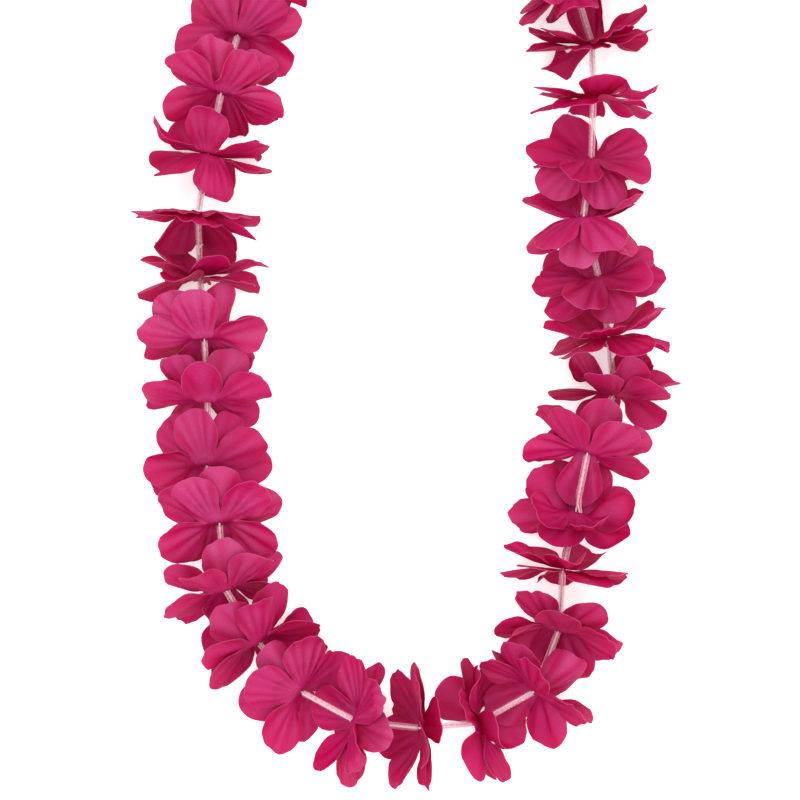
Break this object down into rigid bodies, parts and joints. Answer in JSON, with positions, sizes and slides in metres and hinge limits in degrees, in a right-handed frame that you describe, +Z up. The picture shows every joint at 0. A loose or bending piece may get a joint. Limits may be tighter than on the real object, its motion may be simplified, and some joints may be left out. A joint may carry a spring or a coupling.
{
  "type": "artificial flower lei",
  "caption": "Closed loop of magenta cloth blooms in two five-petalled layers, kept apart by clear plastic tube spacers on a cord, lying flat as a long oval.",
  "frame": {"origin": "centre of the lei's footprint, on the surface that it lies on", "axes": "+Z up from the surface, +Y along the long way of the loop towards its closed end behind the neck, +X across it"},
  "size_m": [0.2526, 0.451, 0.0576],
  "materials": {
    "magenta_fabric": "satin polyester cloth, heat-crimped, with thin pale cut edges",
    "clear_plastic": "clear, glossy, with fine streaks along the tube",
    "cord": "thin pale cord"
  },
  "bodies": {
    "root": {"bloom_01": "magenta_fabric", "bloom_02": "magenta_fabric", "bloom_03": "magenta_fabric", "bloom_04": "magenta_fabric", "bloom_05": "magenta_fabric", "bloom_06": "magenta_fabric", "bloom_07": "magenta_fabric", "bloom_08": "magenta_fabric", "bloom_09": "magenta_fabric", "bloom_10": "magenta_fabric", "bloom_11": "magenta_fabric", "bloom_12": "magenta_fabric", "bloom_13": "magenta_fabric", "bloom_14": "magenta_fabric", "bloom_15": "magenta_fabric", "bloom_16": "magenta_fabric", "bloom_17": "magenta_fabric", "bloom_18": "magenta_fabric", "bloom_19": "magenta_fabric", "bloom_20": "magenta_fabric", "bloom_21": "magenta_fabric", "bloom_22": "magenta_fabric", "bloom_23": "magenta_fabric", "bloom_24": "magenta_fabric", "bloom_25": "magenta_fabric", "bloom_26": "magenta_fabric", "bloom_27": "magenta_fabric", "bloom_28": "magenta_fabric", "bloom_pair_1": "magenta_fabric", "bloom_pair_2": "magenta_fabric", "bloom_pair_3": "magenta_fabric", "tube_01": "clear_plastic", "tube_02": "clear_plastic", "tube_03": "clear_plastic", "tube_04": "clear_plastic", "tube_05": "clear_plastic", "tube_06": "clear_plastic", "tube_07": "clear_plastic", "tube_08": "clear_plastic", "tube_09": "clear_plastic", "tube_10": "clear_plastic", "tube_11": "clear_plastic", "tube_12": "clear_plastic", "tube_13": "clear_plastic", "tube_14": "clear_plastic", "tube_15": "clear_plastic", "tube_16": "clear_plastic", "tube_17": "clear_plastic", "tube_18": "clear_plastic", "tube_19": "clear_plastic", "tube_20": "clear_plastic", "tube_21": "clear_plastic", "tube_22": "clear_plastic", "tube_23": "clear_plastic", "tube_24": "clear_plastic", "tube_25": "clear_plastic", "tube_26": "clear_plastic", "tube_27": "clear_plastic", "tube_run": "clear_plastic", "cord": "cord"}
  },
  "joints": []
}
